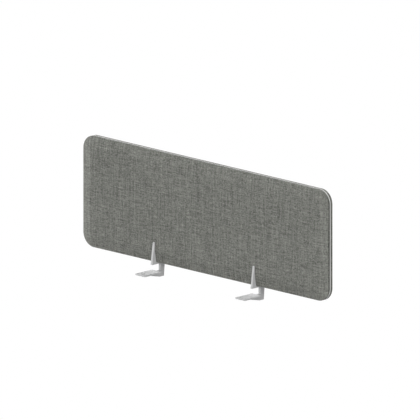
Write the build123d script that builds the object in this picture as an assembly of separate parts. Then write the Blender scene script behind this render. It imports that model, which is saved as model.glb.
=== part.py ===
from build123d import *
import math
import os

# A desk screen: an upholstered panel that stands in two fork brackets at the back edge of a desk.
# The origin is the middle of the panel's bottom edge. X runs along the screen, to the right seen
# from the front, the front faces -Y, and Z is up. All sizes are in millimetres.

# Panel as a whole
panel_width = 1200
panel_height = 400
panel_thickness = 36
edge_thickness = 22
bevel_width = 40
corner_radius = 50

# Desk top that the brackets grip
desk_thickness = 25
desk_clearance = 0.2

# Brackets as a whole
bracket_spacing = 489
arm_thickness = 8
fin_height = 72.5
foot_width = 48
foot_length = 85
foot_thickness = 5

# Fabric covers and the trim strip between them
cover_thickness = 1
trim_width = 3
trim_stem_width = 1.5
trim_stem_depth = 7
trim_joint_gap = 0.6

# Frame and core inside the covers
frame_thickness = 18
rail_width = 50
groove_clearance = 0.05
groove_end_clearance = 1
core_clearance = 0.5

# Dowels in the frame's corner joints, two at each corner
dowel_diameter = 8
dowel_length = 36
dowel_clearance = 0.05
dowel_end_clearance = 1
dowel_edge_distance = 20
dowel_pitch = 18

# Fork: a felt liner in front and below, a pressure disc behind
seat_clearance = 0.3
liner_thickness = 1
liner_floor_end = 9
fin_tip_thickness = 3.1
fin_root_thickness = 20.7
saddle_thickness = 5.7

# Pressure disc and the set screw that drives it
disc_diameter = 18
disc_thickness = 2.5
disc_height = 56
disc_rim = 0.6
disc_stop_clearance = 0.1
clamp_travel = 1.2
screw_diameter = 5
screw_running_clearance = 0.05
screw_length = 8.5
screw_chamfer = 0.4
point_diameter = 3.5
point_length = 1.5
point_end_clearance = 0.05
hex_across_flats = 2.5
hex_depth = 2.5

# Post behind the desk's edge, and the gusset under the foot plate
knee_depth = 9.9
knee_height = 15
knee_radius = 30
post_depth = 24.6
post_lean = 6
foot_setback = 11.9
gusset_setback = 26
gusset_nose = 1.6
gusset_depth = 17.9
gusset_flat = 21.2
corner_round = 1.2
plate_edge_round = 0.5
foot_corner_round = 2

# Two screw holes in the foot plate, side by side, countersunk from below
foot_hole_diameter = 4.5
foot_hole_spacing = 29
countersink_diameter = 9
countersink_depth = 2

# How far a cutting shape runs past what it cuts
overrun = 1

# Places worked out from the sizes above
half_thickness = panel_thickness / 2
half_edge = edge_thickness / 2
half_frame = frame_thickness / 2
frame_inset = cover_thickness
window_inset = frame_inset + rail_width
window_width = panel_width - 2 * window_inset
window_height = panel_height - 2 * window_inset
fork_gap = seat_clearance + liner_thickness
saddle_underside = -(fork_gap + saddle_thickness)
foot_top = saddle_underside - desk_thickness - desk_clearance
foot_underside = foot_top - foot_thickness
gusset_bottom = foot_underside - gusset_depth
disc_front = half_thickness + seat_clearance
disc_back = disc_front + disc_thickness
rear_wall = disc_back + clamp_travel + disc_stop_clearance
knee = rear_wall + knee_depth
post_front = knee - post_depth
post_foot = knee - post_lean
foot_rear = post_front - foot_setback
foot_front = foot_rear - foot_length


def outline(depth, inset):
    """The panel's rounded outline at one depth in Y, drawn in evenly by the inset."""
    plane = Plane(origin=(0, depth, panel_height / 2), x_dir=(1, 0, 0), z_dir=(0, -1, 0))
    width = panel_width - 2 * inset
    height = panel_height - 2 * inset
    return plane * RectangleRounded(width, height, corner_radius - inset)


def slab(start, end, inset):
    """A slab with the panel's outline between two depths in Y."""
    return extrude(outline(end, inset), end - start)


def ring(half_depth, outer_inset, inner_inset):
    """A hoop round the panel's edge, even about the middle plane."""
    return slab(-half_depth, half_depth, outer_inset) - slab(-half_depth, half_depth, inner_inset)


def bevelled_half(near, skin):
    """Half of the panel in front of the middle plane: a straight edge, then the bevel up to the flat
    face. It starts at the depth near, and lies under a skin of the given thickness."""
    edge_depth = half_edge - skin
    face_depth = half_thickness - skin
    straight = slab(-edge_depth, -near, skin)
    bevel = loft([outline(-edge_depth, skin), outline(-face_depth, bevel_width)], ruled=True)
    return straight + bevel


def at_back(front_piece):
    """The same piece turned round the upright axis, for the back of the panel."""
    return Rot(0, 0, 180) * front_piece


# Frame: rails above and below, stiles between them, a groove round the edge for the trim's stem
def frame_ring():
    window = Pos(0, 0, panel_height / 2) * Box(window_width, frame_thickness, window_height)
    groove_half = trim_stem_width / 2 + groove_clearance
    groove_floor = frame_inset + trim_stem_depth + groove_end_clearance
    groove = ring(groove_half, frame_inset, groove_floor)
    return slab(-half_frame, half_frame, frame_inset) - window - groove


def dowel_places():
    """The middles of the dowels, on the joint planes between rails and stiles."""
    outer = panel_width / 2 - frame_inset - dowel_edge_distance
    places = []
    for side in (-1, 1):
        for joint_height in (window_inset, panel_height - window_inset):
            for step in (0, 1):
                places.append(Pos(side * (outer - step * dowel_pitch), 0, joint_height))
    return places


def dowels(radius, length):
    return [place * Cylinder(radius, length) for place in dowel_places()]


def rail(height_middle):
    """One rail of the frame, cut out of the ring, with its dowel holes."""
    zone = Pos(0, 0, height_middle) * Box(panel_width, panel_thickness, rail_width)
    return (frame_ring() & zone) - dowel_holes()


def stile(side):
    """One stile of the frame, between the rails, with its dowel holes."""
    middle = side * (panel_width / 2 - frame_inset - rail_width / 2)
    zone = Pos(middle, 0, panel_height / 2) * Box(rail_width, panel_thickness, window_height)
    return (frame_ring() & zone) - dowel_holes()


def dowel_holes():
    return dowels(dowel_diameter / 2 + dowel_clearance, dowel_length + 2 * dowel_end_clearance)


# Core board that fills the frame's window
def absorber_core():
    width = window_width - 2 * core_clearance
    height = window_height - 2 * core_clearance
    return Pos(0, 0, panel_height / 2) * Box(width, frame_thickness, height)


# Foam pad on the front of the frame, full in the middle and thin at the edge
def foam_pad():
    return bevelled_half(half_frame, cover_thickness)


# Fabric cover, over the pad and round the frame's edge up to the trim
def fabric_cover():
    return bevelled_half(trim_width / 2, 0) - bevelled_half(0, cover_thickness)


# Trim strip with a T section: its head shows between the covers, its stem sits in the groove
def edge_trim():
    head = ring(trim_width / 2, 0, frame_inset)
    stem = ring(trim_stem_width / 2, frame_inset, frame_inset + trim_stem_depth)
    depth = frame_inset + trim_stem_depth
    joint = Pos(0, 0, depth / 2) * Box(trim_joint_gap, trim_width, depth + 2 * overrun)
    return head + stem - joint


# Fork profile: the panel's own section, moved out by an even gap
def fork_corners(gap):
    """The three corners of the fork's inner line in front of the panel, as (Y, Z): under the bottom
    edge, at the bevel's top, and at the fin's tip."""
    rise = bevel_width
    run = half_thickness - half_edge
    slope_length = math.hypot(rise, run)
    foot_shift = gap * (slope_length - run) / rise
    top_shift = gap * (slope_length - rise) / run
    bottom = (-(half_edge + foot_shift), -gap)
    top = (-(half_thickness + gap), bevel_width - top_shift)
    tip = (-(half_thickness + gap), fin_height)
    return bottom, top, tip


# Bracket arm: one plate profile with the fork, the saddle, the post and the gusset
def arm_outline():
    """The corners of the arm as (Y, Z), each with its rounding."""
    bottom, bevel_top, tip = fork_corners(fork_gap)
    front_root = -(half_edge + fork_gap + fin_root_thickness)
    front_tip = tip[0] - fin_tip_thickness
    return [
        ((front_tip, fin_height), corner_round),
        ((front_root, saddle_underside), corner_round),
        ((post_front, saddle_underside), corner_round),
        ((post_front, foot_top), corner_round),
        ((foot_rear, foot_top), 0),
        ((foot_rear, foot_underside), 0),
        ((foot_front + gusset_setback, foot_underside), 0),
        ((foot_front + gusset_setback, foot_underside - gusset_nose), 0),
        ((post_foot - gusset_flat, gusset_bottom), corner_round),
        ((post_foot, gusset_bottom), corner_round),
        ((knee, knee_height), knee_radius),
        ((rear_wall + fin_tip_thickness, fin_height), corner_round),
        ((rear_wall, fin_height), corner_round),
        ((rear_wall, -fork_gap), corner_round),
        (bottom, 0),
        (bevel_top, 0),
        (tip, corner_round),
    ]


def bracket_arm():
    corners = arm_outline()
    points = [point for point, _ in corners]
    radii = [radius for _, radius in corners]
    profile = make_face(Plane.YZ * FilletPolyline(*points, radius=radii, close=True))
    arm = extrude(profile, arm_thickness / 2, both=True)
    arm = fillet(arm.faces().filter_by(Axis.X).edges(), plate_edge_round)
    thread = Rot(90, 0, 0) * Cylinder(screw_diameter / 2, knee_depth + 2 * overrun)
    return arm - Pos(0, (rear_wall + knee) / 2, disc_height) * thread


# Foot plate, welded on the gusset, with screw holes into the desk top
def foot_hole_places():
    middle = foot_front + foot_length / 2
    return [Pos(side * foot_hole_spacing / 2, middle, foot_underside) for side in (-1, 1)]


def foot_plate():
    middle = foot_front + foot_length / 2
    plate = Pos(0, middle, foot_top - foot_thickness / 2) * Box(foot_width, foot_length, foot_thickness)
    plate = fillet(plate.edges().filter_by(Axis.Z), foot_corner_round)
    plate = fillet(plate.faces().filter_by(Axis.Z).edges(), plate_edge_round)
    hole_radius = foot_hole_diameter / 2
    hole = Pos(0, 0, foot_thickness / 2) * Cylinder(hole_radius, foot_thickness + 2 * overrun)
    sink = Cone(countersink_diameter / 2, hole_radius, countersink_depth)
    sink = Pos(0, 0, countersink_depth / 2) * sink
    for place in foot_hole_places():
        plate = plate - place * hole - place * sink
    return plate


# Felt liner on the fork's inner side, from the front fin's tip round under the panel
def fork_liner():
    inner = fork_corners(seat_clearance)
    outer = fork_corners(fork_gap)
    inner_end = (liner_floor_end, -seat_clearance)
    outer_end = (liner_floor_end, -fork_gap)
    points = [inner_end, *inner, *reversed(outer), outer_end]
    profile = make_face(Plane.YZ * Polyline(*points, close=True))
    return extrude(profile, arm_thickness / 2, both=True)


# Pressure disc, with a blind socket at its back for the screw's point
def pressure_disc():
    disc = Cylinder(disc_diameter / 2, disc_thickness)
    disc = fillet(disc.edges().filter_by(GeomType.CIRCLE), disc_rim)
    socket_depth = point_length + point_end_clearance
    socket_radius = point_diameter / 2 + screw_running_clearance
    socket = Pos(0, 0, (disc_thickness - socket_depth) / 2) * Cylinder(socket_radius, socket_depth)
    return Pos(0, (disc_front + disc_back) / 2, disc_height) * Rot(-90, 0, 0) * (disc - socket)


# Set screw with a plain point and a hexagon socket, square to the panel
def clamp_screw():
    shank_start = disc_back + screw_running_clearance
    shank_radius = screw_diameter / 2 - screw_running_clearance
    shank = Pos(0, 0, screw_length / 2) * Cylinder(shank_radius, screw_length)
    shank = chamfer(shank.edges().filter_by(GeomType.CIRCLE), screw_chamfer)
    point = Pos(0, 0, -point_length / 2) * Cylinder(point_diameter / 2, point_length)
    hexagon = RegularPolygon(hex_across_flats / 2, 6, major_radius=False)
    socket = Pos(0, 0, screw_length - hex_depth) * extrude(hexagon, hex_depth + overrun)
    return Pos(0, shank_start, disc_height) * Rot(-90, 0, 0) * (shank + point - socket)


panel_pieces = {
    "bottom_rail": rail(frame_inset + rail_width / 2),
    "top_rail": rail(panel_height - frame_inset - rail_width / 2),
    "left_stile": stile(-1),
    "right_stile": stile(1),
    "frame_dowels": Compound(children=dowels(dowel_diameter / 2, dowel_length)),
    "absorber_core": absorber_core(),
    "front_foam": foam_pad(),
    "back_foam": at_back(foam_pad()),
    "front_cover": fabric_cover(),
    "back_cover": at_back(fabric_cover()),
    "edge_trim": edge_trim(),
}

bracket_pieces = {
    "bracket_arm": bracket_arm(),
    "foot_plate": foot_plate(),
    "fork_liner": fork_liner(),
    "pressure_disc": pressure_disc(),
    "clamp_screw": clamp_screw(),
}

os.makedirs("parts", exist_ok=True)
for name, piece in panel_pieces.items():
    export_step(piece, f"parts/{name}.step")
for side_name, side in (("left", -1), ("right", 1)):
    place = Pos(side * bracket_spacing / 2, 0, 0)
    for name, piece in bracket_pieces.items():
        export_step(place * piece, f"parts/{side_name}_{name}.step")
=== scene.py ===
import math

import bmesh
import bpy
import numpy as np
from mathutils import Matrix, Vector


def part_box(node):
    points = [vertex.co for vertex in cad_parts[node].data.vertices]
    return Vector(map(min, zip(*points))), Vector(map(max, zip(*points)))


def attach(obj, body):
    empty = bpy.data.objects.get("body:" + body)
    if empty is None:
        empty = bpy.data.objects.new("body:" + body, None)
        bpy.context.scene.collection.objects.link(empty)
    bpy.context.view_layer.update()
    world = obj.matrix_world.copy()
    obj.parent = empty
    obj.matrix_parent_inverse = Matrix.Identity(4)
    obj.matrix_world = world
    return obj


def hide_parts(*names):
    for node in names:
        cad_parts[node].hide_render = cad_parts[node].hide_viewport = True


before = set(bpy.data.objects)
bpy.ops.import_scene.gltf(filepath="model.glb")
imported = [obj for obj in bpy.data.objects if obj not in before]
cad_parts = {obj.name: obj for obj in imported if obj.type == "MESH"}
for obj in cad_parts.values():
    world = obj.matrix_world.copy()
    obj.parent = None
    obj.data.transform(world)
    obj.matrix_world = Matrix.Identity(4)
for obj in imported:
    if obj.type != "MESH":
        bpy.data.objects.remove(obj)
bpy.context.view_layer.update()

# A desk screen: an upholstered panel in two fork brackets that grip the back edge of a desk.
# Everything is in metres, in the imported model's frame: X along the screen, the front faces -Y.


# Camera. The photograph is a parallel view from the front right, a little above. The origin of the
# frame, the middle of the panel's bottom edge, shows at origin_pixel.
picture_size = 420
pixels_per_metre = 286.3
origin_pixel = (207.91, 273.32)
view_azimuth = math.radians(44.5)
view_elevation = math.radians(14)
camera_distance = 4
camera_reach = 50

view_right = Vector((math.cos(view_azimuth), math.sin(view_azimuth), 0))
view_back = Vector((
    math.sin(view_azimuth) * math.cos(view_elevation),
    -math.cos(view_azimuth) * math.cos(view_elevation),
    math.sin(view_elevation),
))
view_up = view_back.cross(view_right)
shift_right = (picture_size / 2 - origin_pixel[0]) / pixels_per_metre
shift_up = (origin_pixel[1] - picture_size / 2) / pixels_per_metre
camera_place = view_right * shift_right + view_up * shift_up + view_back * camera_distance

camera = bpy.data.objects.new("camera", bpy.data.cameras.new("camera"))
camera.data.type = "ORTHO"
camera.data.ortho_scale = picture_size / pixels_per_metre
camera.data.clip_end = camera_reach
camera.matrix_world = Matrix((view_right, view_up, view_back)).transposed().to_4x4()
camera.matrix_world.translation = camera_place
bpy.context.scene.collection.objects.link(camera)
bpy.context.scene.camera = camera


# Studio. A pale floor lies a desk's height below the screen, under an even white surround. Wide
# soft lamps stand all round, and the strongest grazes the panel's face from the left.
floor_depth = 0.75
floor_size = 60
floor_tone = 0.30
surround_strength = 0.2


def node(tree, kind, inputs=None, **settings):
    """A new shader node. Each input is set to a value, or linked from a socket."""
    made = tree.nodes.new(kind)
    for name, value in settings.items():
        setattr(made, name, value)
    for name, value in (inputs or {}).items():
        if isinstance(value, bpy.types.NodeSocket):
            tree.links.new(value, made.inputs[name])
        else:
            made.inputs[name].default_value = value
    return made


def lamp(name, direction, strength, spread):
    """A far lamp whose light comes from a direction, softened over a spread in degrees."""
    light = bpy.data.lights.new(name, "SUN")
    light.energy = strength * math.pi
    light.angle = math.radians(spread)
    lamp_object = bpy.data.objects.new(name, light)
    lamp_object.rotation_euler = Vector(direction).to_track_quat("Z", "Y").to_euler()
    bpy.context.scene.collection.objects.link(lamp_object)


lamp("front", (0, -1, 0.05), 0.8, 40)
lamp("high_left", (-1, -0.5, 1.2), 0.33, 40)
lamp("right", (1, -0.45, 0.3), 0.57, 40)
lamp("overhead", (0, -0.1, 1), 0.22, 60)
lamp("grazing_left", (-1, 0.03, 0.12), 1.05, 24)
lamp("behind", (-0.4, 1, 0.4), 0.6, 60)

world = bpy.data.worlds.new("surround")
world.use_nodes = True
world.node_tree.nodes.clear()
camera_ray = node(world.node_tree, "ShaderNodeLightPath").outputs["Is Camera Ray"]
lighting = node(world.node_tree, "ShaderNodeBackground", {"Strength": surround_strength})
backdrop = node(world.node_tree, "ShaderNodeBackground", {"Strength": 1})
for shader in (lighting, backdrop):
    shader.inputs["Color"].default_value = (1, 1, 1, 1)
chosen = node(world.node_tree, "ShaderNodeMixShader",
              {0: camera_ray, 1: lighting.outputs[0], 2: backdrop.outputs[0]})
node(world.node_tree, "ShaderNodeOutputWorld", {"Surface": chosen.outputs[0]})
bpy.context.scene.world = world
bpy.context.scene.view_settings.view_transform = "Standard"

half_floor = floor_size / 2
floor_corners = [(-half_floor, -half_floor, -floor_depth), (half_floor, -half_floor, -floor_depth),
                 (half_floor, half_floor, -floor_depth), (-half_floor, half_floor, -floor_depth)]
floor_mesh = bpy.data.meshes.new("floor")
floor_mesh.from_pydata(floor_corners, [], [(0, 1, 2, 3)])
floor = bpy.data.objects.new("floor", floor_mesh)
bpy.context.scene.collection.objects.link(floor)

# The floor looks white to the camera, sends a soft light up to the object, and is clear from below.
floor_paint = bpy.data.materials.new("floor_paint")
floor_paint.use_nodes = True
floor_tree = floor_paint.node_tree
floor_tree.nodes.clear()
camera_ray = node(floor_tree, "ShaderNodeLightPath").outputs["Is Camera Ray"]
under = node(floor_tree, "ShaderNodeNewGeometry").outputs["Backfacing"]
matt = node(floor_tree, "ShaderNodeBsdfDiffuse", {"Color": (floor_tone, floor_tone, floor_tone, 1)})
white = node(floor_tree, "ShaderNodeEmission", {"Strength": 1})
clear = node(floor_tree, "ShaderNodeBsdfTransparent")
bright = node(floor_tree, "ShaderNodeMixShader",
              {0: camera_ray, 1: matt.outputs[0], 2: white.outputs[0]})
one_sided = node(floor_tree, "ShaderNodeMixShader",
                 {0: under, 1: bright.outputs[0], 2: clear.outputs[0]})
node(floor_tree, "ShaderNodeOutputMaterial", {"Surface": one_sided.outputs[0]})
floor_mesh.materials.append(floor_paint)


# Frame. Two rails and two stiles of planed pine, joined at the corners by beech dowels. They lie
# hidden inside the covers and stay as the construction model has them.
pine_light, pine_dark = (0.62, 0.43, 0.24, 1), (0.40, 0.235, 0.105, 1)
pine_rings, pine_pores, pine_along = 22, 900, 0.06
beech_light, beech_dark = (0.58, 0.40, 0.25, 1), (0.44, 0.28, 0.16, 1)
beech_rings, beech_pores, beech_along = 90, 1600, 0.1
wood_roughness = (0.5, 0.7)
ring_swirl, ring_spread, ring_tone, ring_contrast = 0.4, 70, 0.35, 0.3
pore_low, pore_high, pore_contrast, pore_depth = 0.55, 0.75, 0.4, 0.0001


def new_finish(name):
    """A new material with a Principled shader: its node tree and that shader."""
    material = bpy.data.materials.new(name)
    material.use_nodes = True
    tree = material.node_tree
    tree.nodes.clear()
    shader = node(tree, "ShaderNodeBsdfPrincipled")
    node(tree, "ShaderNodeOutputMaterial", {"Surface": shader.outputs[0]})
    return material, tree, shader


def effect(name, inputs, outputs):
    """A new shader node group with named value and vector sockets: its tree, and its input and
    output nodes."""
    tree = bpy.data.node_groups.new(name, "ShaderNodeTree")
    for direction, sockets in (("INPUT", inputs), ("OUTPUT", outputs)):
        for socket in sockets:
            kind = "NodeSocketVector" if socket == "Vector" else "NodeSocketFloat"
            tree.interface.new_socket(name=socket, in_out=direction, socket_type=kind)
    return tree, tree.nodes.new("NodeGroupInput"), tree.nodes.new("NodeGroupOutput")


def reckon(tree, operation, *values, clamp=False):
    """The result of one Math node, worked out from one to three values."""
    inputs = dict(enumerate(values))
    return node(tree, "ShaderNodeMath", inputs, operation=operation, use_clamp=clamp).outputs[0]


def noise(tree, vector, scale, detail=2, roughness=0.5, distortion=0):
    """The value of one Noise Texture."""
    settings = {"Vector": vector, "Scale": scale, "Detail": detail, "Roughness": roughness,
                "Distortion": distortion}
    return node(tree, "ShaderNodeTexNoise", settings).outputs[0]


# Nearly all of a noise's values lie between these two.
noise_middle = (0.3, 0.7)


def remap(tree, value, low, high, to_low=0, to_high=1):
    """The value stretched evenly from low..high to to_low..to_high, and held there."""
    settings = {"Value": value, "From Min": low, "From Max": high, "To Min": to_low, "To Max": to_high}
    return node(tree, "ShaderNodeMapRange", settings).outputs[0]


def between(tree, share, first, second):
    """A colour between two colours."""
    made = node(tree, "ShaderNodeMix", data_type="RGBA")
    for index, value in ((0, share), (6, first), (7, second)):
        if isinstance(value, bpy.types.NodeSocket):
            tree.links.new(value, made.inputs[index])
        else:
            made.inputs[index].default_value = value
    return made.outputs[2]


def raised(tree, height, distance):
    """The normal of a surface raised by height times distance."""
    return node(tree, "ShaderNodeBump", {"Height": height, "Distance": distance}).outputs[0]


def surface(tree, shader, colour, roughness, normal):
    """Gives the shader its changing colour, roughness and normal."""
    for name, value in (("Base Color", colour), ("Roughness", roughness), ("Normal", normal)):
        tree.links.new(value, shader.inputs[name])


def object_coordinates(tree, stretch=(1, 1, 1)):
    """Object coordinates, each axis multiplied by its stretch."""
    vector = node(tree, "ShaderNodeTexCoord").outputs["Object"]
    return node(tree, "ShaderNodeMapping", {"Vector": vector, "Scale": stretch}).outputs[0]


# Growth rings, a sine of a noise, and short dark pores. The vector's axes are already stretched, so
# that both are drawn out along the grain.
grain, grain_in, grain_out = effect("sawn_grain", ("Vector", "Ring", "Pore"), ("Tone", "Height"))
growth = noise(grain, grain_in.outputs["Vector"], grain_in.outputs["Ring"],
               detail=3, distortion=ring_swirl)
ring_wave = reckon(grain, "SINE", reckon(grain, "MULTIPLY", growth, ring_spread))
ring_part = reckon(grain, "MULTIPLY_ADD", ring_wave, ring_contrast, ring_tone)
pores = noise(grain, grain_in.outputs["Vector"], grain_in.outputs["Pore"], roughness=0.6)
pore_part = remap(grain, pores, pore_low, pore_high, 0, pore_contrast)
grain.links.new(reckon(grain, "ADD", ring_part, pore_part, clamp=True), grain_out.inputs["Tone"])
grain.links.new(reckon(grain, "SUBTRACT", 1, pore_part), grain_out.inputs["Height"])


def wood(name, stretch, ring_scale, pore_scale, light, dark):
    """A planed wood whose grain runs along the axis with the small stretch."""
    material, tree, shader = new_finish(name)
    vector = object_coordinates(tree, stretch)
    marks = node(tree, "ShaderNodeGroup", node_tree=grain)
    tree.links.new(vector, marks.inputs["Vector"])
    marks.inputs["Ring"].default_value = ring_scale
    marks.inputs["Pore"].default_value = pore_scale
    surface(tree, shader, between(tree, marks.outputs["Tone"], light, dark),
            remap(tree, marks.outputs["Tone"], 0, 1, *wood_roughness),
            raised(tree, marks.outputs["Height"], pore_depth))
    return material


def dress(name, material):
    """Gives a carried-over node one material."""
    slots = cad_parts[name].data.materials
    slots.clear()
    slots.append(material)


rail_pine = wood("rail_pine", (pine_along, 1, 1), pine_rings, pine_pores, pine_light, pine_dark)
stile_pine = wood("stile_pine", (1, 1, pine_along), pine_rings, pine_pores, pine_light, pine_dark)
dowel_beech = wood("dowel_beech", (1, 1, beech_along), beech_rings, beech_pores, beech_light, beech_dark)
for name in ("top_rail", "bottom_rail"):
    dress(name, rail_pine)
for name in ("left_stile", "right_stile"):
    dress(name, stile_pine)
dress("frame_dowels", dowel_beech)


# Core. A board of pressed polyester fibre that fills the frame's window and takes up sound. It is
# die-cut, so its edges are slightly rounded, and it is held by the foam on both sides.
core_round = 0.002
core_corner = 0.011
core_reach = 0.010
core_light, core_dark = (0.42, 0.42, 0.40, 1), (0.27, 0.27, 0.26, 1)
core_hairs, core_hair_depth = 700, 0.0004
felt_roughness = (0.95, 0.8)
hair_curl, hair_low, hair_high = 2.5, 0.32, 0.68
patches_per_hair, patch_contrast = 0.06, 0.5
felt_contrast = 0.7
core_corner_steps = 3
merge_distance = 0.000001


def quarter_turns(steps):
    """Directions round a full turn, seen from the front, in four quarter turns from straight down:
    angle = quarter * 90 + step / steps * 90 - 90 degrees. A quarter's end and the next one's start
    share a direction, and belong to two corners."""
    quarter, step = np.divmod(np.arange(4 * (steps + 1)), steps + 1)
    angle = np.radians(90 * quarter + 90 * step / steps - 90)
    corner_x = np.where((quarter == 0) | (quarter == 1), 1, -1)
    corner_z = np.where((quarter == 1) | (quarter == 2), 1, -1)
    return np.cos(angle), np.sin(angle), corner_x, corner_z


def rounded_rings(width, height, middle, radius, inset, depth, steps):
    """Rings round an upright slab with round corners. A point is its corner's centre plus
    (radius - inset) * (cos, sin) of its direction, and lies depth in front of the middle plane."""
    cos, sin, corner_x, corner_z = quarter_turns(steps)
    reach = radius - np.asarray(inset)[:, None]
    x = corner_x * (width / 2 - radius) + cos * reach
    z = middle + corner_z * (height / 2 - radius) + sin * reach
    y = np.broadcast_to(-np.asarray(depth)[:, None], x.shape)
    return np.stack([x, y, z], axis=-1)


def closed_in(rings):
    """One more ring, of the last ring's points brought to the slab's level middle line: x is held
    within half the length less half the height, and z is the middle height."""
    last = rings[-1]
    low, high = last.min(axis=0), last.max(axis=0)
    half_line = (high[0] - low[0] - (high[2] - low[2])) / 2
    line = last.copy()
    line[:, 0] = np.clip(last[:, 0], -half_line, half_line)
    line[:, 2] = (low[2] + high[2]) / 2
    return np.concatenate([rings, line[None]])


def ring_faces(count, around):
    """Four-sided faces between neighbouring rings, where point k of ring r is r * around + k, and the
    last point of a ring is followed by its first."""
    k = np.arange(around)
    after = (k + 1) % around
    start = np.arange(count - 1)[:, None] * around
    faces = np.stack([start + k, start + after, start + around + after, start + around + k], axis=-1)
    return faces.reshape(-1, 4)


def build(name, rings, material, flat=None, ends=False, turn_out=True):
    """A smooth piece from rings of points. Equal points are merged, so that poles and seams close.
    flat gives each point its place on the piece laid out flat, kept as the UV map of that name.
    ends closes the first and last rings with a face each, and turn_out turns the faces outwards."""
    count, around = rings.shape[:2]
    faces = ring_faces(count, around).tolist()
    if ends:
        faces.append(list(range(around)))
        faces.append(list(range((count - 1) * around, count * around))[::-1])
    mesh = bpy.data.meshes.new(name)
    mesh.from_pydata(rings.reshape(-1, 3).tolist(), [], faces)
    if flat is not None:
        corners = np.zeros(len(mesh.loops), np.int32)
        mesh.loops.foreach_get("vertex_index", corners)
        places = flat.reshape(-1, 2)[corners]
        mesh.uv_layers.new(name="flat").data.foreach_set("uv", places.ravel())
    work = bmesh.new()
    work.from_mesh(mesh)
    bmesh.ops.remove_doubles(work, verts=work.verts, dist=merge_distance)
    if turn_out:
        bmesh.ops.recalc_face_normals(work, faces=work.faces)
    work.to_mesh(mesh)
    work.free()
    mesh.shade_smooth()
    mesh.materials.append(material)
    piece = bpy.data.objects.new(name, mesh)
    bpy.context.scene.collection.objects.link(piece)
    return piece


def rounded_line(corners, radii, steps=6):
    """A line through corners, each rounded to a radius: an arc that starts and ends
    radius * tan(half the turn) from its corner, between straight runs. A point on the arc is its
    centre plus the arms to its start and end, weighted by the sines of the turn left and made."""
    corners = [np.array(corner, float) for corner in corners]
    points = [corners[0]]
    for before, corner, after, radius in zip(corners, corners[1:], corners[2:], radii):
        arrive = (corner - before) / np.linalg.norm(corner - before)
        leave = (after - corner) / np.linalg.norm(after - corner)
        turn = math.acos(float(np.clip(arrive @ leave, -1, 1)))
        run = radius * math.tan(turn / 2)
        share = np.linspace(0, 1, steps + 1)[:, None]
        start, end = corner - arrive * run, corner + leave * run
        weight_start = np.sin((1 - share) * turn) / math.sin(turn)
        weight_end = np.sin(share * turn) / math.sin(turn)
        centre = (start + end) / 2 + ((start + end) / 2 - corner) / math.tan(turn / 2) ** 2
        points.extend(centre + (start - centre) * weight_start + (end - centre) * weight_end)
    points.append(corners[-1])
    return np.array(points)


# Pressed fibre: short hairs that lie every way, over soft patches.
felted, felted_in, felted_out = effect("felted", ("Vector", "Hair"), ("Tone", "Height"))
tangle = noise(felted, felted_in.outputs["Vector"], felted_in.outputs["Hair"],
               detail=4, roughness=0.7, distortion=hair_curl)
patch_scale = reckon(felted, "MULTIPLY", felted_in.outputs["Hair"], patches_per_hair)
patches = noise(felted, felted_in.outputs["Vector"], patch_scale)
hairs = remap(felted, tangle, hair_low, hair_high)
both = reckon(felted, "MULTIPLY_ADD", patches, patch_contrast, hairs)
felt_tone = reckon(felted, "MULTIPLY", both, felt_contrast, clamp=True)
felted.links.new(felt_tone, felted_out.inputs["Tone"])
felted.links.new(hairs, felted_out.inputs["Height"])


def felt(name, hair_scale, light, dark, depth):
    """A felt of one colour with lighter and darker hairs, which stand out by the depth."""
    material, tree, shader = new_finish(name)
    marks = node(tree, "ShaderNodeGroup", node_tree=felted)
    tree.links.new(object_coordinates(tree), marks.inputs["Vector"])
    marks.inputs["Hair"].default_value = hair_scale
    surface(tree, shader, between(tree, marks.outputs["Tone"], dark, light),
            remap(tree, marks.outputs["Tone"], 0, 1, *felt_roughness),
            raised(tree, marks.outputs["Height"], depth))
    shader.inputs["Specular IOR Level"].default_value = 0.2
    return material


core_low, core_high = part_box("absorber_core")
core_half = (core_high.y - core_low.y) / 2
core_section = rounded_line(
    [(core_reach, -core_half), (0, -core_half), (0, core_half), (core_reach, core_half)],
    [core_round, core_round],
)
core_rings = rounded_rings(
    core_high.x - core_low.x, core_high.z - core_low.z, (core_low.z + core_high.z) / 2,
    core_corner, core_section[:, 0], core_section[:, 1], core_corner_steps,
)
core_rings = closed_in(closed_in(core_rings)[::-1])
core_fibre = felt("core_fibre", core_hairs, core_light, core_dark, core_hair_depth)
core_board = build("absorber_core_board", core_rings, core_fibre)
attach(core_board, "screen")
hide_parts("absorber_core")


# Foam pads. One on each face of the frame, cut full in the middle and thin towards the edge, which
# gives the panel its bevel. They are glued to the frame and keep the cover taut.
edge_depth = 0.011
bevel_width = 0.040
corner_radius = 0.050
centre_gap = 0.002
foam_round = 0.0004
foam_reach = 0.012
face_round = 0.06
corner_steps = 20
foam_light, foam_painted_hollow_shade = (0.74, 0.71, 0.62, 1), (0.52, 0.49, 0.41, 1)
foam_roughness = (0.98, 0.8)
cell_scale, cell_wall, cell_depth = 900, 0.18, 0.0004

cover_low, cover_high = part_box("front_cover")
panel_width = cover_high.x - cover_low.x
panel_height = cover_high.z - cover_low.z
face_depth = -cover_low.y
trim_half = -cover_high.y
foam_low, foam_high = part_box("front_foam")
cover_thickness = face_depth + foam_low.y
foam_back = -foam_high.y
face_start = corner_radius - centre_gap

foam, tree, shader = new_finish("open_cell_foam")
cells = node(tree, "ShaderNodeTexVoronoi",
             {"Vector": object_coordinates(tree), "Scale": cell_scale}, feature="DISTANCE_TO_EDGE")
walls = remap(tree, cells.outputs["Distance"], 0, cell_wall, 1, 0)
# The cell hollows are painted darker than the walls between them: painted shade in the foam's pores.
surface(tree, shader, between(tree, walls, foam_painted_hollow_shade, foam_light),
        remap(tree, walls, 0, 1, *foam_roughness), raised(tree, walls, cell_depth))


def front_and_back(rings):
    """The piece on the front, and the same turned half round the upright axis for the back."""
    return (("front", rings), ("back", rings * (-1, -1, 1)))


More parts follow.
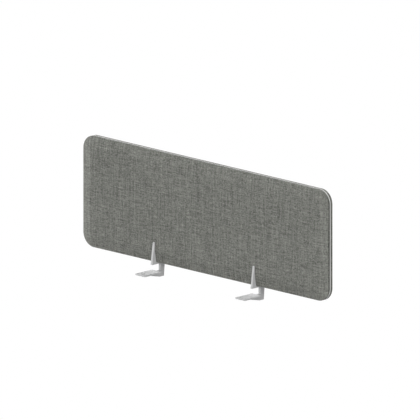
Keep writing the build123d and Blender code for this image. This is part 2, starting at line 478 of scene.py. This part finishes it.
# The section runs as (inset, depth): out along the frame, up the edge, over the bevel, and onto the
# face, where it ends just short of the corners' centres.
foam_edge, foam_face = edge_depth - cover_thickness, face_depth - cover_thickness
foam_section = rounded_line(
    [(foam_reach, foam_back), (cover_thickness, foam_back), (cover_thickness, foam_edge),
     (bevel_width, foam_face), (face_start, foam_face)],
    [foam_round, foam_round, face_round],
)
foam_rings = rounded_rings(panel_width, panel_height, panel_height / 2, corner_radius,
                           foam_section[:, 0], foam_section[:, 1], corner_steps)
foam_rings = closed_in(closed_in(foam_rings)[::-1])
for side, rings in front_and_back(foam_rings):
    pad = build(f"{side}_foam_pad", rings, foam)
    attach(pad, "screen")
    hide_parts(f"{side}_foam")


# Covers. One cut of dark-grey melange cloth on each face, pulled over the bevel and round the edge,
# and tucked in beside the trim. It is a plain weave of uneven light and dark yarns.
cloth_thickness = 0.0008
tuck_depth = 0.0018
tuck_gap = 0.00002
tuck_round = 0.0009
edge_round = 0.0020
gather_depth = 0.0002
gathers_per_corner = 18
steps_per_gather = 6
yarn_pitch = 0.0016
yarn_length = 0.016
yarn_contrast = 1.3
warp_seed, weft_seed = 3.1, 8.7
yarn_sway, sway_length = 0.5, 0.011
slub_length, slub_thin, slub_full = 0.005, 0.84, 1.1
neighbour_step = 1.37
fibres_across, fibre_twist, fibre_lay = 5, 1.6, 0.3
fibre_scale, fibre_rise, fibre_contrast = 1.2, 0.5, 0.5
fleck_length, fleck_width, fleck_contrast = 0.0085, 0.0025, 0.86
streak_length, streak_width, streak_contrast = 0.075, 0.0023, 0.92
fleck_seed, streak_seed, weft_shift = 1.3, 11.9, 4.6
yarn_rise = 0.0004
# The painted shade of the valleys between the yarns and the painted light on their crowns, and the
# heights where each holds.
valley_height, valley_painted_shade = 0.1, -0.34
crown_height, crown_painted_light = 1.7, 0.10
cloth_lightness = 0.336
# How much lighter the painted highlight over the bevels is, and the width over which it fades.
bevel_painted_highlight, painted_highlight_fade = 0.10, 0.003
yarn_dark, yarn_light = (0.058, 0.0595, 0.0525, 1), (0.33, 0.336, 0.305, 1)
cloth_roughness = (0.98, 0.85)

melange, tree, shader = new_finish("melange_cloth")
cut = node(tree, "ShaderNodeUVMap", uv_map="flat").outputs[0]
axes = node(tree, "ShaderNodeSeparateXYZ", {0: cut})
along_x, along_z = axes.outputs[0], axes.outputs[1]


def place_among_yarns(across, seed):
    """A place across one set of yarns, counted in yarns. The yarns sway a little from side to side:
    across / pitch + 2 * sway * (noise - 0.5)."""
    spread = node(tree, "ShaderNodeVectorMath", {0: cut, 1: (seed, seed, 0)}, operation="ADD")
    wander = reckon(tree, "SUBTRACT", noise(tree, spread.outputs[0], 1 / sway_length, detail=1), 0.5)
    straight = reckon(tree, "DIVIDE", across, yarn_pitch)
    return reckon(tree, "MULTIPLY_ADD", wander, 2 * yarn_sway, straight)


def yarns(place, crossing, along, seed, first):
    """One set of yarns, as its height and its lightness. A yarn has a round back, which is thicker and
    thinner along its length and rises and dips in turn as it passes over and under the other set:
    sqrt(1 - (2 * offset / fullness) squared) + first * cos wave, whose sign changes from yarn to yarn.
    Its lightness is noise that changes slowly along it. Its fibres lie in a twist, and change both.
    first is 1 for the set that passes over where the wave starts, and -1 for the other."""
    number = reckon(tree, "FLOOR", place)
    offset = reckon(tree, "SUBTRACT", reckon(tree, "FRACT", place), 0.5)
    apart = reckon(tree, "MULTIPLY_ADD", number, neighbour_step, seed)

    def along_yarn(length, detail, roughness):
        spread = node(tree, "ShaderNodeCombineXYZ", {
            0: apart, 1: reckon(tree, "DIVIDE", along, length), 2: seed * length / yarn_length})
        return noise(tree, spread.outputs[0], 1, detail, roughness)

    slub = along_yarn(slub_length, detail=1, roughness=0.5)
    fullness = remap(tree, slub, *noise_middle, slub_thin, slub_full)
    share = reckon(tree, "DIVIDE", reckon(tree, "MULTIPLY", offset, 2), fullness)
    squared = reckon(tree, "MULTIPLY", share, share)
    back = reckon(tree, "SQRT", reckon(tree, "SUBTRACT", 1, squared, clamp=True))
    sign = reckon(tree, "COSINE", reckon(tree, "MULTIPLY", number, math.pi))
    phase = reckon(tree, "MULTIPLY", reckon(tree, "SUBTRACT", crossing, 0.5), math.pi)
    wave = reckon(tree, "MULTIPLY", reckon(tree, "COSINE", phase), reckon(tree, "MULTIPLY", sign, first))

    run = reckon(tree, "DIVIDE", along, yarn_pitch)
    over = reckon(tree, "MULTIPLY", offset, fibres_across)
    lay = node(tree, "ShaderNodeCombineXYZ", {
        0: reckon(tree, "MULTIPLY_ADD", run, fibre_twist, over),
        1: reckon(tree, "MULTIPLY", run, fibre_lay),
        2: apart,
    })
    fibre = reckon(tree, "SUBTRACT", noise(tree, lay.outputs[0], fibre_scale, roughness=0.6), 0.5)
    height = reckon(tree, "MULTIPLY_ADD", fibre, fibre_rise, reckon(tree, "ADD", back, wave))
    tone = along_yarn(yarn_length, detail=3, roughness=0.65)
    return height, reckon(tree, "MULTIPLY_ADD", fibre, fibre_contrast, tone)


warp_place = place_among_yarns(along_x, warp_seed)
weft_place = place_among_yarns(along_z, weft_seed)
warp_height, warp_tone = yarns(warp_place, weft_place, along_z, warp_seed, 1)
weft_height, weft_tone = yarns(weft_place, warp_place, along_x, weft_seed, -1)
warp_shows = reckon(tree, "GREATER_THAN", warp_height, weft_height)
cloth_height = reckon(tree, "MAXIMUM", warp_height, weft_height)
yarn_shade = node(tree, "ShaderNodeMix", {0: warp_shows, 2: weft_tone, 3: warp_tone}).outputs[0]


def slubs(length, width, seed):
    """Thick and thin places in both sets of yarns: noise drawn out along each axis, added up."""
    total = 0
    for ahead, aside, shift in ((along_x, along_z, 0), (along_z, along_x, weft_shift)):
        spread = node(tree, "ShaderNodeCombineXYZ", {
            0: reckon(tree, "DIVIDE", ahead, length),
            1: reckon(tree, "DIVIDE", aside, width),
            2: seed + shift,
        })
        total = reckon(tree, "ADD", noise(tree, spread.outputs[0], 1, roughness=0.6), total)
    return reckon(tree, "SUBTRACT", total, 1)


flecks = slubs(fleck_length, fleck_width, fleck_seed)
streaks = slubs(streak_length, streak_width, streak_seed)
yarn_part = reckon(tree, "MULTIPLY", reckon(tree, "SUBTRACT", yarn_shade, 0.5), yarn_contrast)
fleck_part = reckon(tree, "MULTIPLY", flecks, fleck_contrast)
streak_part = reckon(tree, "MULTIPLY", streaks, streak_contrast)
slub_part = reckon(tree, "ADD", fleck_part, streak_part)
# The valleys between the yarns are painted darker and their crowns lighter: painted shade and painted
# highlight of the weave's relief.
painted_relief_shade = remap(tree, cloth_height, valley_height, crown_height, valley_painted_shade, crown_painted_light)
weave_tone_and_relief_shade = reckon(tree, "ADD", reckon(tree, "ADD", yarn_part, slub_part), painted_relief_shade)

# Over the bevels at its two ends the cloth is painted lighter: a painted highlight for the light the
# bevels catch.
bevel_middle = panel_width / 2 - bevel_width / 2
from_middle = reckon(tree, "SUBTRACT", reckon(tree, "ABSOLUTE", along_x), bevel_middle)
painted_bevel_highlight = remap(tree, reckon(tree, "ABSOLUTE", from_middle), bevel_width / 2 - painted_highlight_fade,
                  bevel_width / 2 + painted_highlight_fade, bevel_painted_highlight, 0)
mixed = reckon(tree, "ADD", weave_tone_and_relief_shade, painted_bevel_highlight)
lightness = reckon(tree, "ADD", mixed, cloth_lightness, clamp=True)
surface(tree, shader, between(tree, lightness, yarn_dark, yarn_light),
        remap(tree, lightness, 0, 1, *cloth_roughness), raised(tree, cloth_height, yarn_rise))
shader.inputs["Specular IOR Level"].default_value = 0.25
shader.inputs["Sheen Weight"].default_value = 0.04
shader.inputs["Sheen Roughness"].default_value = 0.5

tuck = trim_half + tuck_gap
cover_section = rounded_line(
    [(tuck_depth, tuck), (0, tuck), (0, edge_depth), (bevel_width, face_depth),
     (face_start, face_depth)],
    [tuck_round, edge_round, face_round], steps=8,
)
section_runs = np.linalg.norm(np.diff(cover_section, axis=0), axis=1)
from_tuck = np.concatenate([[0], np.cumsum(section_runs)])
to_face = from_tuck[-1] - from_tuck

# Round the corners the cloth is gathered at the edge: it lies deeper by the gather's depth times
# 1 - sin of its place in the gathers, which fades out over the edge and towards the corner's ends.
cover_steps = steps_per_gather * gathers_per_corner
cover_rings = rounded_rings(panel_width, panel_height, panel_height / 2, corner_radius,
                            cover_section[:, 0], cover_section[:, 1], cover_steps)
cos, sin, corner_x, corner_z = quarter_turns(cover_steps)
turn_share = np.tile(np.linspace(0, 1, cover_steps + 1), 4)
bulge = np.sin(turn_share * math.pi)
gather = np.sin(turn_share * 2 * math.pi * gathers_per_corner) * bulge
fade = np.clip(1 - cover_section[:, 1] / edge_depth, 0, 1) * (cover_section[:, 0] < tuck_round)
fold = gather_depth * fade[:, None] * (gather - 1) * bulge
cover_rings[..., 0] += cos * fold
cover_rings[..., 2] += sin * fold
cover_rings = closed_in(cover_rings)

# On the flat cut, a point lies as far from its corner's centre as the cloth is long between them. The
# cut's area is its rectangle's less (4 - pi) * radius squared for its round corners.
flat_reach = centre_gap + to_face[:, None]
flat_x = corner_x * (panel_width / 2 - corner_radius) + cos * flat_reach
flat_z = panel_height / 2 + corner_z * (panel_height / 2 - corner_radius) + sin * flat_reach
cut_places = np.stack([flat_x, flat_z], axis=-1)
cut_places = np.concatenate([cut_places, cover_rings[-1][None, :, [0, 2]]])
for side, rings in front_and_back(cover_rings):
    cover = build(f"{side}_cover_cloth", rings, melange, flat=cut_places, turn_out=False)
    wall = cover.modifiers.new("cloth_thickness", "SOLIDIFY")
    wall.thickness = cloth_thickness
    wall.offset = -1
    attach(cover, "screen")
    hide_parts(f"{side}_cover")


# Trim. An extruded plastic strip with a T section. Its crowned head shows as a pale line between the
# covers, its stem is pressed into the frame's groove, and its ends meet under the panel.
head_inset = 0.0010
head_crown = 0.0003
crown_points = 9
stem_half = 0.00075
stem_end = 0.008
joint_gap = 0.0006
trim_light, trim_dark = (0.79, 0.79, 0.78, 1), (0.72, 0.72, 0.71, 1)
trim_roughness = (0.35, 0.5)
trim_cloud_scale = 60
die_line_stretch, die_line_depth = (6, 5000, 1), 0.00002

# The section as (inset, depth). The head's crown falls away with the square of the depth.
crown_depth = np.linspace(-trim_half, trim_half, crown_points)
crown_inset = head_crown * (crown_depth / trim_half) ** 2
stem = [(head_inset, trim_half), (head_inset, stem_half), (stem_end, stem_half),
        (stem_end, -stem_half), (head_inset, -stem_half), (head_inset, -trim_half)]
trim_section = np.concatenate([np.stack([crown_inset, crown_depth], axis=-1), stem])

# The path runs round the panel's outline from the joint under its middle. A point of the section lies
# its inset inside the path, against the outward direction there.
trim_cos, trim_sin, trim_corner_x, trim_corner_z = quarter_turns(corner_steps)
path_x = trim_corner_x * (panel_width / 2 - corner_radius) + trim_cos * corner_radius
path_z = panel_height / 2 + trim_corner_z * (panel_height / 2 - corner_radius) + trim_sin * corner_radius
path_x = np.concatenate([[joint_gap / 2], path_x, [-joint_gap / 2]])
path_z = np.concatenate([[0], path_z, [0]])
out_x = np.concatenate([[0], trim_cos, [0]])
out_z = np.concatenate([[-1], trim_sin, [-1]])
path_run = np.concatenate([[0], np.cumsum(np.hypot(np.diff(path_x), np.diff(path_z)))])

inset = trim_section[:, 0]
trim_rings = np.stack([
    path_x[:, None] - out_x[:, None] * inset,
    np.broadcast_to(-trim_section[:, 1], (len(path_x), len(inset))),
    path_z[:, None] - out_z[:, None] * inset,
], axis=-1)
trim_flat = np.stack(np.broadcast_arrays(path_run[:, None], trim_section[:, 1]), axis=-1)

strip, tree, shader = new_finish("extruded_strip")
run_along = node(tree, "ShaderNodeUVMap", uv_map="flat").outputs[0]
drawn = node(tree, "ShaderNodeMapping", {"Vector": run_along, "Scale": die_line_stretch}).outputs[0]
die_lines = noise(tree, drawn, 1)
clouds = noise(tree, object_coordinates(tree), trim_cloud_scale)
surface(tree, shader, between(tree, clouds, trim_dark, trim_light),
        remap(tree, die_lines, *noise_middle, *trim_roughness),
        raised(tree, die_lines, die_line_depth))
trim = build("edge_trim_strip", trim_rings, strip, flat=trim_flat, ends=True)
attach(trim, "screen")
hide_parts("edge_trim")


# Brackets. Each is an arm cut from 8 mm steel plate and a foot plate welded across it, with a fine
# pale-grey powder coat over both. The arm and plate stay as the construction model has them.
paint_light, paint_dark = (0.473, 0.475, 0.477, 1), (0.413, 0.415, 0.418, 1)
coat_roughness = (0.42, 0.55)
peel_scale, peel_depth = 900, 0.00008
speck_scale, cloud_scale = 2600, 25
sides = ("left", "right")

coat, tree, shader = new_finish("powder_coat")
vector = object_coordinates(tree)
peel = noise(tree, vector, peel_scale)
speck = noise(tree, vector, speck_scale, detail=1)
cloud = noise(tree, vector, cloud_scale, detail=3)
paint_tone = reckon(tree, "MULTIPLY_ADD", speck, 0.5, reckon(tree, "MULTIPLY", cloud, 0.5))
surface(tree, shader, between(tree, paint_tone, paint_dark, paint_light),
        remap(tree, peel, *noise_middle, *coat_roughness), raised(tree, peel, peel_depth))
for side in sides:
    dress(f"{side}_bracket_arm", coat)
    dress(f"{side}_foot_plate", coat)


# Welds. A fillet weld on each side of the gusset joins it to the foot plate above. It is a row of
# overlapping ripples under the powder coat, and it fades out at both ends.
weld_leg = 0.0022
weld_setback = 0.005
ripple_pitch = 0.0013
ripple_depth = 0.12
ripple_bow = 0.35
weld_step = ripple_pitch / 5
weld_around = 20


def weld_bead(x, z, start, end):
    """A rod along Y in the corner at x, z. Its radius is weld_leg, less ripple_depth * |sin| of the
    place along it in ripples, bowed by the square of the angle, and is rounded off at both ends:
    sqrt(1 - (1 - the distance from the end / two legs) squared)."""
    y = np.linspace(start, end, round((end - start) / weld_step) + 1)
    angle = np.linspace(-math.pi, math.pi, weld_around, endpoint=False)
    ripple = np.abs(np.sin(math.pi * (y[:, None] / ripple_pitch + ripple_bow * angle ** 2)))
    from_end = np.clip(np.minimum(y - start, end - y) / (2 * weld_leg), 0, 1)
    taper = np.sqrt(1 - (1 - from_end) ** 2)
    radius = weld_leg * taper[:, None] * (1 - ripple_depth * ripple)
    return np.stack([
        x + radius * np.sin(angle),
        np.broadcast_to(y[:, None], radius.shape),
        z - radius * np.cos(angle),
    ], axis=-1)


for side in sides:
    arm_low, arm_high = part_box(f"{side}_bracket_arm")
    plate_low, plate_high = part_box(f"{side}_foot_plate")
    for number, x in enumerate((arm_low.x, arm_high.x), start=1):
        bead_rings = weld_bead(x, plate_low.z, arm_low.y + weld_setback, plate_high.y - weld_setback)
        bead = build(f"{side}_bracket_weld_{number}", bead_rings, coat)
        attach(bead, f"{side}_bracket")


# Liners. A strip of thin self-adhesive felt along the inside of each fork's front fin and round
# under the panel, so that the steel doesn't mark the cloth.
seat_clearance = 0.0003
liner_thickness = 0.0010
half_liner = 0.47 * liner_thickness
end_gap, side_gap = 0.0003, 0.0001
under_round, bevel_round = 0.0012, 0.020
side_squareness, face_squareness = 0.3, 0.6
liner_around = 24
liner_light, liner_dark = (0.50, 0.50, 0.49, 1), (0.36, 0.36, 0.35, 1)
liner_hairs, liner_hair_depth = 1500, 0.0003
liner_felt = felt("liner_felt", liner_hairs, liner_light, liner_dark, liner_hair_depth)


def section_beside_panel(gap):
    """The panel's lower front section as (y, z), moved out by an even gap: under the bottom edge, and
    at the bevel's top. Each corner moves along both of its lines."""
    run_out = face_depth - edge_depth
    slope = math.hypot(run_out, bevel_width)
    bottom = (-(edge_depth + gap * (slope - run_out) / bevel_width), -gap)
    top = (-(face_depth + gap), bevel_width - gap * (slope - bevel_width) / run_out)
    return bottom, top


# The strip's own section is a rectangle with round corners: half its width times |cos| to a low power
# across, and half its thickness times |sin| to a low power out from the line.
for side in sides:
    low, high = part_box(f"{side}_fork_liner")
    bottom, top = section_beside_panel(seat_clearance + liner_thickness / 2)
    line = rounded_line([(high.y - end_gap, bottom[1]), bottom, top, (top[0], high.z - end_gap)],
                        [under_round, bevel_round], steps=5)
    ahead = np.gradient(line, axis=0)
    ahead /= np.linalg.norm(ahead, axis=1)[:, None]
    out = np.stack([-ahead[:, 1], ahead[:, 0]], axis=-1)
    turn = np.linspace(0, 2 * math.pi, liner_around, endpoint=False)
    half_width = (high.x - low.x) / 2 - side_gap
    wide = np.sign(np.cos(turn)) * np.abs(np.cos(turn)) ** side_squareness * half_width
    thick = np.sign(np.sin(turn)) * np.abs(np.sin(turn)) ** face_squareness * half_liner
    liner_rings = np.stack([
        np.broadcast_to((low.x + high.x) / 2 + wide, (len(line), len(turn))),
        line[:, :1] + out[:, :1] * thick,
        line[:, 1:] + out[:, 1:] * thick,
    ], axis=-1)
    liner = build(f"{side}_liner_strip", liner_rings, liner_felt, ends=True)
    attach(liner, f"{side}_bracket")
    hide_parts(f"{side}_fork_liner")


# Pressure discs. A moulded disc of firm rubber on each clamp screw's point, which presses on the
# cover without marking it.
disc_light, disc_dark = (0.035, 0.035, 0.036, 1), (0.018, 0.018, 0.019, 1)
rubber_roughness = (0.55, 0.75)
bloom_scale = 250
texture_scale, texture_depth = 2500, 0.00005

rubber, tree, shader = new_finish("moulded_rubber")
vector = object_coordinates(tree)
bloom = noise(tree, vector, bloom_scale, detail=3, roughness=0.6)
texture = noise(tree, vector, texture_scale, detail=1)
surface(tree, shader, between(tree, bloom, disc_dark, disc_light),
        remap(tree, bloom, *noise_middle, *rubber_roughness), raised(tree, texture, texture_depth))
for side in sides:
    dress(f"{side}_pressure_disc", rubber)


# Clamp screws. A zinc-plated set screw with an M5 thread, a plain point that carries the disc, and a
# hexagon socket for a key at its rear end. It runs in the rear fin's threaded hole.
thread_pitch = 0.0008
thread_depth = 0.00045
screw_chamfer = 0.0004
point_radius, point_length, point_round = 0.00175, 0.0015, 0.0002
socket_width, socket_depth, socket_cone = 0.0025, 0.0025, 0.0004
screw_around = 48
thread_step = thread_pitch / 8
zinc_light, zinc_dark = (0.62, 0.63, 0.65, 1), (0.45, 0.46, 0.47, 1)
zinc_roughness = (0.22, 0.42)
bath_scale = 400
scratch_scale, scratch_stretch, scratch_depth = 1500, (1, 12, 1), 0.00001

zinc, tree, shader = new_finish("zinc_plate")
bath = noise(tree, object_coordinates(tree), bath_scale, detail=3, roughness=0.6)
scratch = noise(tree, object_coordinates(tree, scratch_stretch), scratch_scale, roughness=0.6)
surface(tree, shader, between(tree, bath, zinc_dark, zinc_light),
        remap(tree, scratch, *noise_middle, *zinc_roughness), raised(tree, scratch, scratch_depth))
shader.inputs["Metallic"].default_value = 1

# A point's distance from the axis is the screw's radius less the thread's depth times a triangle wave
# of y / pitch - angle / full turn. It is cut off by the chamfers at both ends.
angle = np.linspace(0, 2 * math.pi, screw_around, endpoint=False)
sixth = math.pi / 3
hexagon = socket_width / 2 / np.cos(np.mod(angle, sixth) - sixth / 2)
for side in sides:
    low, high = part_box(f"{side}_clamp_screw")
    radius = (high.x - low.x) / 2
    shoulder = low.y + point_length
    thread_y = np.arange(shoulder, high.y + thread_step / 2, thread_step)
    thread_y = np.minimum(thread_y, high.y)
    crest = np.abs(2 * np.mod(thread_y[:, None] / thread_pitch - angle / (2 * math.pi), 1) - 1)
    from_end = np.minimum(thread_y - shoulder, high.y - thread_y)[:, None]
    thread = np.minimum(radius - thread_depth * crest, radius - screw_chamfer + from_end)
    on_axis = np.zeros(screw_around)
    plain = [
        (low.y, on_axis),
        (low.y, on_axis + point_radius - point_round),
        (low.y + point_round, on_axis + point_radius),
        (shoulder, on_axis + point_radius),
    ]
    socket = [
        (high.y, hexagon),
        (high.y - socket_depth, hexagon),
        (high.y - socket_depth - socket_cone, on_axis),
    ]
    ring_y = np.array([y for y, _ in plain] + list(thread_y) + [y for y, _ in socket])
    ring_radius = np.array([r for _, r in plain] + list(thread) + [r for _, r in socket])
    screw_rings = np.stack([
        (low.x + high.x) / 2 + ring_radius * np.cos(angle),
        np.broadcast_to(ring_y[:, None], ring_radius.shape),
        (low.z + high.z) / 2 + ring_radius * np.sin(angle),
    ], axis=-1)
    screw = build(f"{side}_set_screw", screw_rings, zinc)
    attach(screw, f"{side}_screw")
    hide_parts(f"{side}_clamp_screw")
